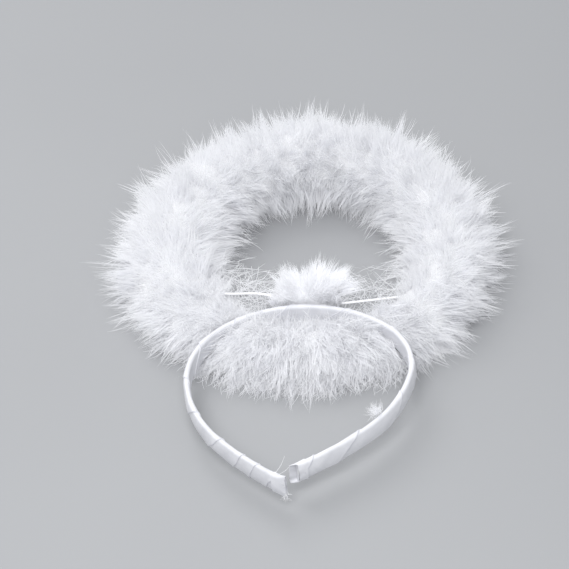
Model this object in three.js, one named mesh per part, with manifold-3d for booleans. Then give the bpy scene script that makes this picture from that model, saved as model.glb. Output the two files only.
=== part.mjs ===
// Halo headband: a ribbon-wrapped hair hoop that carries a feather halo on a bent wire.
// Millimetres, +Z up. It lies on a table as it rests by itself: the feather ring lies flat at
// the back, and the hoop stands on its edge in front, its crown at the back and its tips in front.
import * as THREE from "three";
import { mergeVertices } from "three/addons/utils/BufferGeometryUtils.js";
import Module from "manifold-3d";

// Hoop: a plastic strip bent to a loop, with ribbon running on past both its tips.
const ARM_LENGTH = 194; // along the strip from the crown to the end of the ribbon, on the right
const LEFT_ARM_SHARE = 1.025; // the left arm's length over the right one's: the stem is off the middle
const RIBBON_OVERHANG = 4.6; // past the end of the strip
const HOOP_LENGTH = 2 * (ARM_LENGTH - RIBBON_OVERHANG);
const HOOP_WIDTH = 10.6;
const HOOP_THICKNESS = 1.4;
const HOOP_DOME = 0.6; // how far the outer face swells past a flat one
const HOOP_EDGE_ROUND = 0.5;
const HOOP_LIFT = 9.6; // the wrapped hoop's lower edge above the table, at the crown
const HOOP_ROLL_DEG = 1.5; // the left arm hangs lower than the right one

// How each arm bends from the crown to its tip, one arc to a row.
const ARM_BENDS = [
  { share: 0.25, leftDeg: 41.5, rightDeg: 38 },
  { share: 0.25, leftDeg: 56, rightDeg: 64 },
  { share: 0.25, leftDeg: 35.5, rightDeg: 35 },
  { share: 0.25, leftDeg: 15, rightDeg: 13 },
];

// Ribbon: one satin strip wound round the hoop, each turn lapping over the one before.
const RIBBON_WALL = 0.5;
const RIBBON_STEP = 0.3; // how far a turn's free edge stands over the turn beneath
const RIBBON_LAP_SHARE = 0.4; // the part of a turn that lies on the one before
// Where the free edge of each turn crosses the middle of the outer face, as shares of an arm.
const RIBBON_EDGES = [
  -1.1, -0.948, -0.889, -0.838, -0.74, -0.598, -0.456, -0.314, -0.173, -0.003,
  0.168, 0.317, 0.466, 0.616, 0.827, 0.959, 1.1,
];
const RIBBON_STATION = 6.4; // spacing of the sections along the hoop

// End wraps: one layer of ribbon round each tip, left open past the end of the hoop.
const END_WRAP_GRIP = 2.4; // how far it reaches back along the hoop
const END_WRAP_WALL = 0.5;
const END_WRAP_FLARES = { left: 1.3, right: 0.2 }; // how far the mouth spreads, each way up and down
const END_WRAP_SCOOPS = { left: 0, right: 4 }; // how far the mouth's outer face is cut back from the tip

// Halo wire: a ring inside the feathers, with the far side propped up on them.
const HALO_RADIUS = 82;
const HALO_WIRE_RADIUS = 1;
const HALO_OFFSET = 62; // from the crown of the hoop back to the middle of the ring
const HALO_FRONT_HEIGHT = 5.2;
const HALO_BACK_HEIGHT = 16;

// Stem wire: lies behind the crown and runs out to an eye round the halo wire on each side.
const STEM_RADIUS = 0.7;
const STEM_EYES_DEG = { left: 206, right: 334 }; // round the ring, counted as in BOA_SECTIONS
// Its bends from left to right: behind the crown's outer face, and up from the hoop's lower edge,
// all as shares of the ring's radius.
const STEM_BENDS = [
  { x: -0.56, behind: 0.152, up: 0.09 },
  { x: -0.293, behind: 0.104, up: 0.127 },
  { x: -0.11, behind: 0.018, up: 0.129 },
  { x: 0, behind: 0, up: 0.12 },
  { x: 0.11, behind: 0.005, up: 0.112 },
  { x: 0.488, behind: 0.091, up: 0.09 },
];

// Feathers: marabou down wound round the halo wire, and a tuft over the middle of the stem.
const DOWN_LENGTH = 37; // from the quill cord to the tips, free of anything
const TUFT_LENGTH = 21;
const TUFT_HEAD_WIDTH = 28; // from left to right
const TUFT_HEAD_RADIUS = 8;
const TUFT_HEAD = { x: 1.5, behind: 6.5, up: 11 }; // behind the crown, and up from the hoop's lower edge

const GAP = 0.3; // kept between pieces that touch

// How far the down's locks reach at stations round the ring, as shares of the down's length.
// deg is counted from the right-hand side, so 90 is the far side and 270 passes under the crown.
const BOA_SECTIONS = [
  { deg: 0, out: 1.04, in: 0.98, up: 0.9 },
  { deg: 45, out: 1.0, in: 1.02, up: 0.92 },
  { deg: 90, out: 0.96, in: 1.04, up: 0.98 },
  { deg: 135, out: 1.04, in: 1.16, up: 0.94 },
  { deg: 165, out: 1.1, in: 1.24, up: 0.92 },
  { deg: 190, out: 1.16, in: 1.04, up: 0.88 },
  { deg: 212, out: 1.2, in: 0.76, up: 0.78 },
  { deg: 242, out: 1.04, in: 0.52, up: 0.58 },
  { deg: 270, out: 1.0, in: 0.5, up: 0.5 },
  { deg: 297, out: 1.02, in: 0.44, up: 0.58 },
  { deg: 325, out: 1.06, in: 0.42, up: 0.74 },
  { deg: 345, out: 1.06, in: 0.76, up: 0.84 },
];
const BOA_BODY_SHARE = 0.56; // the body under the locks, as a share of their reach
const BOA_STATIONS = 26;
const BOA_SIDES = 8;
const BOA_LUMP = 0.1; // how unevenly the clumps of down stand, as a share
const LOCK_STATIONS = 18;
const LOCK_ROWS_DEG = [-12, 28, 72, 116, 158, 196]; // round the cord, 0 pointing away from the ring's middle
const LOCK_ROOT = 6;
const LOCK_BELLY = 9.8;
const LOCK_BELLY_SHARE = 0.62; // how far along a lock is widest
const TUFT_LOCKS = 26;

const SILK = { color: 0xf1f1f6, roughness: 0.38, metalness: 0 };
const PLASTIC = { color: 0xf4f4f2, roughness: 0.45, metalness: 0 };
const WIRE_COAT = { color: 0xf6f6f6, roughness: 0.4, metalness: 0 };
const DOWN = { color: 0xf7f7fa, roughness: 0.95, metalness: 0 };

const rad = THREE.MathUtils.degToRad;
const wasm = await Module();
wasm.setup();

// A repeatable number from 0 to 1 for each whole number.
function scatter(n) {
  const wave = Math.sin(n * 12.9898 + 4.1414) * 43758.5453;
  return wave - Math.floor(wave);
}

function geometryFrom(points, faces) {
  const geometry = new THREE.BufferGeometry();
  const flat = points.flatMap((p) => [p.x, p.y, p.z]);
  geometry.setAttribute("position", new THREE.Float32BufferAttribute(flat, 3));
  geometry.setIndex(faces.flat());
  return geometry;
}

// The faces between two neighbouring rings of points, which start at the given indices.
function stripFaces(from, to, count, reversed) {
  const faces = [];
  for (let i = 0; i < count; i++) {
    const j = (i + 1) % count;
    const pair = [
      [from + i, from + j, to + j],
      [from + i, to + j, to + i],
    ];
    faces.push(...pair.map((f) => (reversed ? [...f].reverse() : f)));
  }
  return faces;
}

function fanFaces(start, count, reversed) {
  const faces = [];
  for (let i = 1; i < count - 1; i++) {
    const face = [start, start + i, start + i + 1];
    faces.push(reversed ? face.reverse() : face);
  }
  return faces;
}

// A solid through rings of points, each wound counter-clockwise as seen from the end it runs to.
function loft(rings, closed = false) {
  const count = rings[0].length;
  const faces = [];
  const last = closed ? rings.length : rings.length - 1;
  for (let i = 0; i < last; i++) {
    faces.push(...stripFaces(i * count, ((i + 1) % rings.length) * count, count, false));
  }
  if (!closed) {
    faces.push(...fanFaces(0, count, true));
    faces.push(...fanFaces((rings.length - 1) * count, count, false));
  }
  return geometryFrom(rings.flat(), faces);
}

// A sleeve with an open bore, from matching outer and inner rings.
function sleeve(outer, inner) {
  const count = outer[0].length;
  const innerStart = outer.length * count;
  const faces = [];
  for (let i = 0; i < outer.length - 1; i++) {
    faces.push(...stripFaces(i * count, (i + 1) * count, count, false));
    faces.push(...stripFaces(innerStart + i * count, innerStart + (i + 1) * count, count, true));
  }
  const end = (outer.length - 1) * count;
  faces.push(...stripFaces(0, innerStart, count, true));
  faces.push(...stripFaces(end, innerStart + end, count, false));
  return geometryFrom([...outer, ...inner].flat(), faces);
}

function solidOf(geometry) {
  const bare = geometry.index ? geometry.toNonIndexed() : geometry.clone();
  bare.deleteAttribute("normal");
  bare.deleteAttribute("uv");
  const merged = mergeVertices(bare, 1e-4);
  return new wasm.Manifold(
    new wasm.Mesh({
      numProp: 3,
      vertProperties: merged.attributes.position.array,
      triVerts: new Uint32Array(merged.index.array),
    }),
  );
}

function geometryOf(solid) {
  const mesh = solid.getMesh();
  const geometry = new THREE.BufferGeometry();
  geometry.setAttribute("position", new THREE.BufferAttribute(mesh.vertProperties, 3));
  geometry.setIndex(new THREE.BufferAttribute(mesh.triVerts, 1));
  geometry.computeVertexNormals();
  return geometry;
}

// The largest of the bodies that a cut leaves: loose tips of down are dropped.
function largestBody(solid) {
  const bodies = solid.decompose();
  return bodies.reduce((best, body) => (body.volume() > best.volume() ? body : best));
}

function named(name, geometry, finish) {
  if (!geometry.getAttribute("normal")) geometry.computeVertexNormals();
  const mesh = new THREE.Mesh(geometry, new THREE.MeshStandardMaterial({ ...finish, flatShading: true }));
  mesh.name = name;
  return mesh;
}

// A point on the hoop's middle line at a distance from the crown. Left of it distances are negative,
// and are measured in the right arm's millimetres.
function hoopAt(distance) {
  const side = distance < 0 ? -1 : 1;
  const stretch = side < 0 ? LEFT_ARM_SHARE : 1;
  let left = Math.abs(distance) * stretch;
  let heading = 0;
  const p = new THREE.Vector2(0, 0);
  for (const row of ARM_BENDS) {
    const length = row.share * ARM_LENGTH * stretch;
    const turn = rad(side < 0 ? row.leftDeg : row.rightDeg);
    const run = Math.min(left, length);
    const turned = (turn * run) / length;
    const chord = run === 0 ? 0 : ((2 * length) / turn) * Math.sin(turned / 2);
    const towards = heading + turned / 2;
    p.x += Math.cos(towards) * chord;
    p.y -= Math.sin(towards) * chord;
    heading += turned;
    left -= run;
    if (left <= 0) break;
  }
  return {
    point: new THREE.Vector2(side * p.x, p.y),
    outward: new THREE.Vector2(side * Math.sin(heading), Math.cos(heading)),
  };
}

// The strip's outline, grown on every side: x is outwards from the hoop's middle line, y is up.
function stripOutline(grow, flare = 0) {
  const half = HOOP_WIDTH / 2 + grow + flare;
  const face = HOOP_THICKNESS / 2 + grow;
  const round = HOOP_EDGE_ROUND + grow / 2;
  const outline = [
    [-face, -half + round],
    [-face + round, -half],
    [face - round, -half],
  ];
  for (const share of [-1, -0.5, 0, 0.5, 1]) {
    const swell = HOOP_DOME * (1 - share * share);
    outline.push([face + swell, share * (half - round)]);
  }
  outline.push([face - round, half], [-face + round, half], [-face, half - round]);
  return outline.map(([x, y]) => new THREE.Vector2(x, y));
}

// Sets an outline square to the hoop at a distance from the crown.
function ringAt(distance, outline) {
  const { point, outward } = hoopAt(distance);
  return outline.map(
    (o) => new THREE.Vector3(point.x + outward.x * o.x, point.y + outward.y * o.x, o.y),
  );
}

function evenly(from, to, spacing) {
  const count = Math.max(1, Math.ceil(Math.abs(to - from) / spacing));
  return Array.from({ length: count + 1 }, (_, i) => from + ((to - from) * i) / count);
}

function hoopGeometry() {
  const stations = evenly(-HOOP_LENGTH / 2, HOOP_LENGTH / 2, RIBBON_STATION * 1.5);
  return loft(stations.map((s) => ringAt(s, stripOutline(0))));
}

// How many turns of ribbon there are up to a distance along the outer face, counted from the left.
function turnsAt(distance) {
  const place = distance / ARM_LENGTH;
  const next = RIBBON_EDGES.findIndex((edge) => edge > place);
  const [a, b] = [RIBBON_EDGES[next - 1], RIBBON_EDGES[next]];
  return next - 1 + (place - a) / (b - a);
}

// The wound ribbon's height over its lowest layer, where a turn laps the one before.
// around goes from 0 to 1 round the outline, with the middle of the outer face at a half.
function lapRise(distance, around) {
  const phase = turnsAt(distance) + around - 0.5;
  const share = phase - Math.floor(phase);
  return RIBBON_STEP * Math.max(0, 1 - share / RIBBON_LAP_SHARE);
}

const RIBBON_INSIDE = GAP;
const RIBBON_OUTSIDE = RIBBON_INSIDE + RIBBON_WALL;
const RIBBON_END = HOOP_LENGTH / 2 - END_WRAP_GRIP - GAP;

function ribbonGeometry() {
  const stations = evenly(-RIBBON_END, RIBBON_END, RIBBON_STATION);
  const outer = stations.map((s) => {
    const low = stripOutline(RIBBON_OUTSIDE);
    const high = stripOutline(RIBBON_OUTSIDE + RIBBON_STEP);
    const outline = low.map((p, i) => {
      const rise = lapRise(s, (i + 0.5) / low.length) / RIBBON_STEP;
      return p.clone().lerp(high[i], rise);
    });
    return ringAt(s, outline);
  });
  const inner = stations.map((s) => ringAt(s, stripOutline(RIBBON_INSIDE)));
  return sleeve(outer, inner);
}

// The open ribbon end on one tip: side is -1 on the left, 1 on the right. The mouth spreads by
// the flare, and slants back by the scoop from its inner face to its outer one.
function endWrapGeometry(side, flare, scoop) {
  const start = HOOP_LENGTH / 2 - END_WRAP_GRIP;
  const stations = evenly(start, ARM_LENGTH, (ARM_LENGTH - start) / 4);
  const order = side < 0 ? [...stations].reverse() : stations;
  const ring = (grow) => (s) => {
    const share = (s - start) / (ARM_LENGTH - start);
    const face = HOOP_THICKNESS / 2 + grow;
    return stripOutline(grow, flare * share * share).flatMap((o) => {
      const outwards = Math.min(1, (o.x + face) / (2 * face));
      return ringAt(side * (s - scoop * share * outwards), [o]);
    });
  };
  return sleeve(order.map(ring(RIBBON_INSIDE + END_WRAP_WALL)), order.map(ring(RIBBON_INSIDE)));
}

// The space that the wrapped hoop takes on the table, open upwards, with a gap all round.
function hoopClearance(height) {
  const reach = RIBBON_OUTSIDE + RIBBON_STEP + GAP;
  const half = HOOP_WIDTH / 2 + reach;
  const inside = -HOOP_THICKNESS / 2 - reach;
  const outside = HOOP_THICKNESS / 2 + HOOP_DOME + reach;
  const outline = [
    [inside, -half],
    [outside, -half],
    [outside, height],
    [inside, height],
  ].map(([x, y]) => new THREE.Vector2(x, y));
  const stations = evenly(-HOOP_LENGTH / 2, HOOP_LENGTH / 2, RIBBON_STATION);
  return loft(stations.map((s) => ringAt(s, outline)));
}

const WRAPPED_HALF_WIDTH = HOOP_WIDTH / 2 + RIBBON_OUTSIDE + RIBBON_STEP;
const WRAPPED_OUTER_FACE = HOOP_THICKNESS / 2 + RIBBON_OUTSIDE + RIBBON_STEP + HOOP_DOME;
const HALO_TILT = Math.asin((HALO_BACK_HEIGHT - HALO_FRONT_HEIGHT) / (2 * HALO_RADIUS));
const HALO_HEIGHT = (HALO_FRONT_HEIGHT + HALO_BACK_HEIGHT) / 2;

// A point on the halo wire's middle line, in the object's frame.
function haloAt(degrees) {
  const x = HALO_RADIUS * Math.cos(rad(degrees));
  const y = HALO_RADIUS * Math.sin(rad(degrees));
  return new THREE.Vector3(
    x,
    HALO_OFFSET + y * Math.cos(HALO_TILT),
    HALO_HEIGHT + y * Math.sin(HALO_TILT),
  );
}

function circleShape(radius, sides) {
  const corners = Array.from({ length: sides }, (_, i) => {
    const turn = (2 * Math.PI * i) / sides;
    return new THREE.Vector2(radius * Math.cos(turn), radius * Math.sin(turn));
  });
  return new THREE.Shape(corners);
}

function tube(points, radius, steps, sides) {
  const path = new THREE.CatmullRomCurve3(points, false, "centripetal");
  return new THREE.ExtrudeGeometry(circleShape(radius, sides), {
    steps,
    bevelEnabled: false,
    extrudePath: path,
  });
}

// The eye at a stem's end: a ring of the stem's own wire round the halo wire.
function eyeGeometry(degrees, wireRadius) {
  const eye = new THREE.TorusGeometry(HALO_WIRE_RADIUS + GAP + STEM_RADIUS, wireRadius, 5, 10);
  const at = haloAt(degrees);
  const along = haloAt(degrees + 1).sub(haloAt(degrees - 1)).normalize();
  const turn = new THREE.Quaternion().setFromUnitVectors(new THREE.Vector3(0, 0, 1), along);
  return eye.applyQuaternion(turn).translate(at.x, at.y, at.z);
}

// The stem's middle line: eye, straight run, round the back of the crown, straight run, eye.
function stemPoints() {
  const nearest = WRAPPED_OUTER_FACE + GAP + STEM_RADIUS;
  const bends = STEM_BENDS.map((b) => {
    const step = new THREE.Vector3(b.x, b.behind, b.up).multiplyScalar(HALO_RADIUS);
    return step.add(new THREE.Vector3(0, nearest, HOOP_LIFT));
  });
  const ends = [STEM_EYES_DEG.left, STEM_EYES_DEG.right].map((degrees, i) => {
    const eye = haloAt(degrees);
    const along = haloAt(degrees + 1).sub(haloAt(degrees - 1)).normalize();
    const bend = bends[i === 0 ? 0 : bends.length - 1];
    const towards = bend.clone().sub(eye).projectOnPlane(along).normalize();
    return eye.addScaledVector(towards, HALO_WIRE_RADIUS + GAP + STEM_RADIUS);
  });
  return [ends[0], ...bends, ends[1]];
}

function stemSolid(grow) {
  const wire = solidOf(tube(stemPoints(), STEM_RADIUS + grow, 24, 6));
  const eyes = [STEM_EYES_DEG.left, STEM_EYES_DEG.right].map((d) => solidOf(eyeGeometry(d, STEM_RADIUS + grow)));
  return wire.add(eyes[0]).add(eyes[1]);
}

// The table's row at any angle round the ring, blended smoothly between its neighbours.
function boaSection(degrees) {
  const turn = ((degrees % 360) + 360) % 360;
  const rows = [...BOA_SECTIONS, { ...BOA_SECTIONS[0], deg: 360 }];
  const next = rows.findIndex((row) => row.deg > turn);
  const [a, b] = [rows[next - 1], rows[next]];
  const share = (turn - a.deg) / (b.deg - a.deg);
  const blend = share * share * (3 - 2 * share);
  const at = (key) => a[key] + (b[key] - a[key]) * blend;
  return { out: at("out"), in: at("in"), up: at("up") };
}

// A point of the down at an angle round the cord, a share of the way from the cord to the tips.
// Down that would reach into the table lies along it instead.
function downPoint(degrees, around, share) {
  const section = boaSection(degrees);
  const turn = rad(around);
  const side = Math.cos(turn) * (Math.cos(turn) > 0 ? section.out : section.in);
  const away = new THREE.Vector3(Math.cos(rad(degrees)), Math.sin(rad(degrees)), 0);
  const p = haloAt(degrees).addScaledVector(away, DOWN_LENGTH * share * side);
  p.z = Math.max(0, p.z + DOWN_LENGTH * share * section.up * Math.sin(turn));
  return p;
}

function boaBody() {
  const rings = [];
  for (let i = 0; i < BOA_STATIONS; i++) {
    const ring = [];
    for (let k = 0; k < BOA_SIDES; k++) {
      const around = -52 + (284 * k) / (BOA_SIDES - 1);
      const lump = 1 + BOA_LUMP * (2 * scatter(i * BOA_SIDES + k) - 1);
      ring.push(downPoint((360 * i) / BOA_STATIONS, around, BOA_BODY_SHARE * lump));
    }
    rings.push(ring.reverse());
  }
  return solidOf(loft(rings, true));
}

// A three-sided lock of down: from its root through its belly to a point.
function lock(root, belly, tip, rootRadius, bellyRadius) {
  const along = new THREE.Vector3().subVectors(tip, root).normalize();
  const aside = new THREE.Vector3(-along.y, along.x, 0.01).normalize();
  const across = new THREE.Vector3().crossVectors(along, aside).normalize();
  const ring = (centre, radius) =>
    [30, 150, 270].map((d) =>
      centre
        .clone()
        .addScaledVector(aside, radius * Math.cos(rad(d)))
        .addScaledVector(across, radius * Math.sin(rad(d))),
    );
  const points = [...ring(root, rootRadius), ...ring(belly, bellyRadius), tip];
  const faces = [
    [0, 2, 1],
    ...stripFaces(0, 3, 3, false),
    [3, 4, 6],
    [4, 5, 6],
    [5, 3, 6],
  ];
  return solidOf(geometryFrom(points, faces));
}

function boaLocks() {
  const locks = [];
  for (let i = 0; i < LOCK_STATIONS; i++) {
    LOCK_ROWS_DEG.forEach((row, k) => {
      const seed = i * LOCK_ROWS_DEG.length + k;
      const stagger = k % 2 ? 0.5 : 0;
      const degrees = (360 * (i + stagger + 0.5 * (scatter(seed) - 0.5))) / LOCK_STATIONS;
      const around = row + 12 * (scatter(seed + 500) - 0.5);
      const swing = degrees + 9 * (scatter(seed + 900) - 0.5);
      const length = 0.84 + 0.24 * scatter(seed + 1300);
      const root = downPoint(degrees, around, 0.2);
      const belly = downPoint(degrees, around, LOCK_BELLY_SHARE * length);
      const tip = downPoint(swing, around - 6, length);
      locks.push(lock(root, belly, tip, LOCK_ROOT, LOCK_BELLY));
    });
  }
  return locks;
}

function haloTunnel() {
  const tunnel = new THREE.TorusGeometry(HALO_RADIUS, HALO_WIRE_RADIUS + GAP, 6, 40);
  tunnel.rotateX(HALO_TILT).translate(0, HALO_OFFSET, HALO_HEIGHT);
  return solidOf(tunnel);
}

const headband = new THREE.Group();
headband.position.z = HOOP_LIFT + WRAPPED_HALF_WIDTH;
headband.rotation.y = -rad(HOOP_ROLL_DEG);
headband.updateMatrix();
headband.add(named("hoop", hoopGeometry(), PLASTIC));
headband.add(named("ribbon_wrap", ribbonGeometry(), SILK));
headband.add(named("end_wrap_left", endWrapGeometry(-1, END_WRAP_FLARES.left, END_WRAP_SCOOPS.left), SILK));
headband.add(named("end_wrap_right", endWrapGeometry(1, END_WRAP_FLARES.right, END_WRAP_SCOOPS.right), SILK));

const haloWire = named(
  "halo_wire",
  new THREE.TorusGeometry(HALO_RADIUS, HALO_WIRE_RADIUS, 6, 40),
  WIRE_COAT,
);
haloWire.position.set(0, HALO_OFFSET, HALO_HEIGHT);
haloWire.rotation.x = HALO_TILT;

const stemWire = named("stem_wire", geometryOf(stemSolid(0)), WIRE_COAT);

// The tuft: a long low head behind the crown, with locks that fan out over it.
function tuftSolid(hoopSpace) {
  const centre = new THREE.Vector3(TUFT_HEAD.x, WRAPPED_OUTER_FACE + TUFT_HEAD.behind, HOOP_LIFT + TUFT_HEAD.up);
  const head = new THREE.IcosahedronGeometry(TUFT_HEAD_RADIUS, 1)
    .scale(TUFT_HEAD_WIDTH / (2 * TUFT_HEAD_RADIUS), 1, 1)
    .translate(centre.x, centre.y, centre.z);
  const locks = [];
  for (let i = 0; i < TUFT_LOCKS; i++) {
    const across = 2 * (((i + 0.5) * 0.618034) % 1) - 1;
    const lean = rad(-25 + (130 * (i + 0.5)) / TUFT_LOCKS);
    const way = new THREE.Vector3(0.75 * across, Math.cos(lean), Math.sin(lean)).normalize();
    const length = TUFT_LENGTH * (0.85 + 0.3 * scatter(i + 70));
    const at = (share) => {
      const p = centre.clone().addScaledVector(way, length * share);
      p.x += 0.36 * TUFT_HEAD_WIDTH * across;
      p.z = Math.max(1.5, p.z);
      return p;
    };
    locks.push(lock(at(0.1), at(0.6), at(1), 3, 3.8));
  }
  return wasm.Manifold.union([solidOf(head), ...locks]).subtract(hoopSpace);
}

const hoopSpace = solidOf(hoopClearance(2 * DOWN_LENGTH).applyMatrix4(headband.matrix));
const stemSpace = stemSolid(GAP);
const tuft = tuftSolid(hoopSpace).subtract(stemSpace);
const boa = wasm.Manifold.union([boaBody(), ...boaLocks()])
  .trimByPlane([0, 0, 1], 0)
  .subtract(hoopSpace)
  .subtract(stemSpace)
  .subtract(haloTunnel());

const object = new THREE.Group();
object.add(headband, haloWire, stemWire);
object.add(named("halo_boa", geometryOf(largestBody(boa)), DOWN));
object.add(named("crown_tuft", geometryOf(largestBody(tuft)), DOWN));

// The origin is the middle of the box round the whole object, at its base.
const bounds = new THREE.Box3().setFromObject(object);
const middle = bounds.getCenter(new THREE.Vector3());
object.position.set(-middle.x, -middle.y, -bounds.min.z);

const model = new THREE.Group();
model.add(object);

export default model;
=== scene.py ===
import math

import bmesh
import bpy
import numpy as np
from mathutils import Matrix, Vector


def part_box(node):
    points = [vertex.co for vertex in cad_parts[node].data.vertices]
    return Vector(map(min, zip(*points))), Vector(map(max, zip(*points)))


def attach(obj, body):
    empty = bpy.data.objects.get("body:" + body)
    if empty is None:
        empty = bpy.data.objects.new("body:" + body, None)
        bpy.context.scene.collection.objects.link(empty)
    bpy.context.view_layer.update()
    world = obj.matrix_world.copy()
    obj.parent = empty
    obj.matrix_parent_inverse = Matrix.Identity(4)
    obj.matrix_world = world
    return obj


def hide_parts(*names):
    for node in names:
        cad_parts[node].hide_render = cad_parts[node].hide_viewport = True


MM = 0.001

# Sizes in millimetres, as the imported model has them
ARM_LENGTH = 194.0
RIBBON_OVERHANG = 4.6
HOOP_WIDTH = 10.6
HOOP_THICKNESS = 1.4
HOOP_DOME = 0.6
HOOP_EDGE_ROUND = 0.5
HOOP_LIFT = 9.6
HOOP_ROLL_DEG = 1.5
LEFT_ARM_SHARE = 1.025
ARM_BENDS = [(0.25, 41.5, 38.0), (0.25, 56.0, 64.0), (0.25, 35.5, 35.0), (0.25, 15.0, 13.0)]
GAP = 0.3
RIBBON_WALL = 0.5
RIBBON_STEP = 0.3
# Where the ribbon's free edges cross the middle of the outer face, one for each turn
RIBBON_EDGES = [-214.0, -184.0, -172.5, -162.5, -143.5, -116.0, -88.5, -61.0, -33.5, -0.5]
RIBBON_EDGES += [32.5, 61.5, 90.5, 119.5, 160.5, 186.0, 214.0]
RIBBON_LAP_SHARE = 0.4
END_WRAP_GRIP = 2.4
HALO_RADIUS = 82.0
HALO_OFFSET = 62.0
HALO_FRONT_HEIGHT = 5.2
HALO_BACK_HEIGHT = 16.0
STEM_RADIUS = 0.7
STEM_EYES_DEG = (206.0, 334.0)
STEM_BENDS = HALO_RADIUS * np.array(
    [
        (-0.56, 0.152, 0.09),
        (-0.293, 0.104, 0.127),
        (-0.11, 0.018, 0.129),
        (0.0, 0.0, 0.12),
        (0.11, 0.005, 0.112),
        (0.488, 0.091, 0.09),
    ]
)
DOWN_LENGTH = 37.0
# Degrees round the ring, then how far the down reaches outwards, inwards and upwards
BOA_SECTIONS = [
    (0, 1.04, 0.98, 0.90),
    (45, 1.00, 1.02, 0.92),
    (90, 0.96, 1.04, 0.98),
    (135, 1.04, 1.16, 0.94),
    (165, 1.10, 1.24, 0.92),
    (190, 1.16, 1.04, 0.88),
    (212, 1.20, 0.76, 0.78),
    (242, 1.04, 0.52, 0.58),
    (270, 1.00, 0.50, 0.50),
    (297, 1.02, 0.44, 0.58),
    (325, 1.06, 0.42, 0.74),
    (345, 1.06, 0.76, 0.84),
    (360, 1.04, 0.98, 0.90),
]
# Tips of the ring's barbs droop above this height
DROOP_HEIGHT = 49.0
TUFT_LENGTH = 21.0
TUFT_HEAD_WIDTH = 28.0
TUFT_HEAD_RADIUS = 8.0
TUFT_HEAD = (1.5, 6.5, 11.0)
TUFT_LOCKS = 46

WRAPPED_HALF_WIDTH = HOOP_WIDTH / 2 + GAP + RIBBON_WALL + RIBBON_STEP
WRAPPED_OUTER_FACE = HOOP_THICKNESS / 2 + HOOP_DOME + GAP + RIBBON_WALL + RIBBON_STEP
HALO_TILT = math.asin((HALO_BACK_HEIGHT - HALO_FRONT_HEIGHT) / (2 * HALO_RADIUS))
HALO_HEIGHT = (HALO_FRONT_HEIGHT + HALO_BACK_HEIGHT) / 2

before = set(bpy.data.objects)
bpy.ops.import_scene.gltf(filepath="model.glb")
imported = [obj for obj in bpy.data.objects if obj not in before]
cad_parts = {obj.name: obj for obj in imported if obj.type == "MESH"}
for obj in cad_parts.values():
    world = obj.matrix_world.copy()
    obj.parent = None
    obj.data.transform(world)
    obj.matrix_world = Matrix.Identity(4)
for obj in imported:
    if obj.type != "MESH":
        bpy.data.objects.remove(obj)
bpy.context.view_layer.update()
body = "root"

# The crown of the hoop in the model's frame, found from the halo wire's box
wire_low, wire_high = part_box("halo_wire")
wire_middle = (np.array(wire_low) + np.array(wire_high)) / 2 / MM
CROWN = np.array([wire_middle[0], wire_middle[1] - HALO_OFFSET, 0.0])


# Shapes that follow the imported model
def hoop_at(distance):
    """The hoop's middle line in plan, and its outward direction, from distances along it."""
    distance = np.atleast_1d(np.asarray(distance, float))
    side = np.where(distance < 0, -1.0, 1.0)
    stretch = np.where(distance < 0, LEFT_ARM_SHARE, 1.0)
    left = np.abs(distance) * stretch
    heading = np.zeros_like(left)
    x = np.zeros_like(left)
    y = np.zeros_like(left)
    for share, left_deg, right_deg in ARM_BENDS:
        length = share * ARM_LENGTH * stretch
        turn = np.radians(np.where(side < 0, left_deg, right_deg))
        run = np.minimum(left, length)
        turned = turn * run / length
        chord = 2 * length / turn * np.sin(turned / 2)
        x += np.cos(heading + turned / 2) * chord
        y -= np.sin(heading + turned / 2) * chord
        heading += turned
        left = np.maximum(left - run, 0)
    points = np.stack([side * x, y], 1)
    outward = np.stack([side * np.sin(heading), np.cos(heading)], 1)
    return points, outward


def set_on_hoop(distance, out, up):
    """Points out from the hoop's middle line and up from the strip's middle, in millimetres."""
    points, outward = hoop_at(distance)
    x = points[:, 0] + outward[:, 0] * out
    y = points[:, 1] + outward[:, 1] * out
    roll = math.radians(HOOP_ROLL_DEG)
    z = up * math.cos(roll) + x * math.sin(roll)
    x = x * math.cos(roll) - up * math.sin(roll)
    flat = np.stack([x, y, z + HOOP_LIFT + WRAPPED_HALF_WIDTH], 1)
    return flat + CROWN


def halo_at(degrees):
    turn = np.radians(degrees)
    y = HALO_RADIUS * np.sin(turn)
    behind = HALO_OFFSET + y * math.cos(HALO_TILT)
    up = HALO_HEIGHT + y * math.sin(HALO_TILT)
    return CROWN + np.stack([HALO_RADIUS * np.cos(turn), behind, up], -1)


def reach_at(degrees):
    """How far the down reaches outwards, inwards and upwards round the ring, as shares."""
    turn = np.mod(degrees, 360.0)
    rows = np.array(BOA_SECTIONS)
    after = np.clip(np.searchsorted(rows[:, 0], turn, side="right"), 1, len(rows) - 1)
    a, b = rows[after - 1], rows[after]
    share = (turn - a[..., 0]) / (b[..., 0] - a[..., 0])
    blend = (share * share * (3 - 2 * share))[..., None]
    return a[..., 1:] + (b[..., 1:] - a[..., 1:]) * blend


def down_point(degrees, around, share):
    """A point of the ring's down, a share of the way from its cord to its tips."""
    degrees, around, share = np.broadcast_arrays(degrees, around, share)
    reach = reach_at(degrees)
    turn = np.radians(around)
    sideways = np.cos(turn) * np.where(np.cos(turn) > 0, reach[..., 0], reach[..., 1])
    away = np.stack([np.cos(np.radians(degrees)), np.sin(np.radians(degrees)), 0 * degrees], -1)
    p = halo_at(degrees) + away * (DOWN_LENGTH * share * sideways)[..., None]
    p[..., 2] += DOWN_LENGTH * share * reach[..., 2] * np.sin(turn)
    return p


# Mesh making
def unit(vectors, least=0.0):
    """Vectors of length one. The least keeps a vector without length from failing."""
    return vectors / (np.linalg.norm(vectors, axis=1)[:, None] + least)


def new_object(name, data):
    obj = bpy.data.objects.new(name, data)
    bpy.context.scene.collection.objects.link(obj)
    return obj


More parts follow.
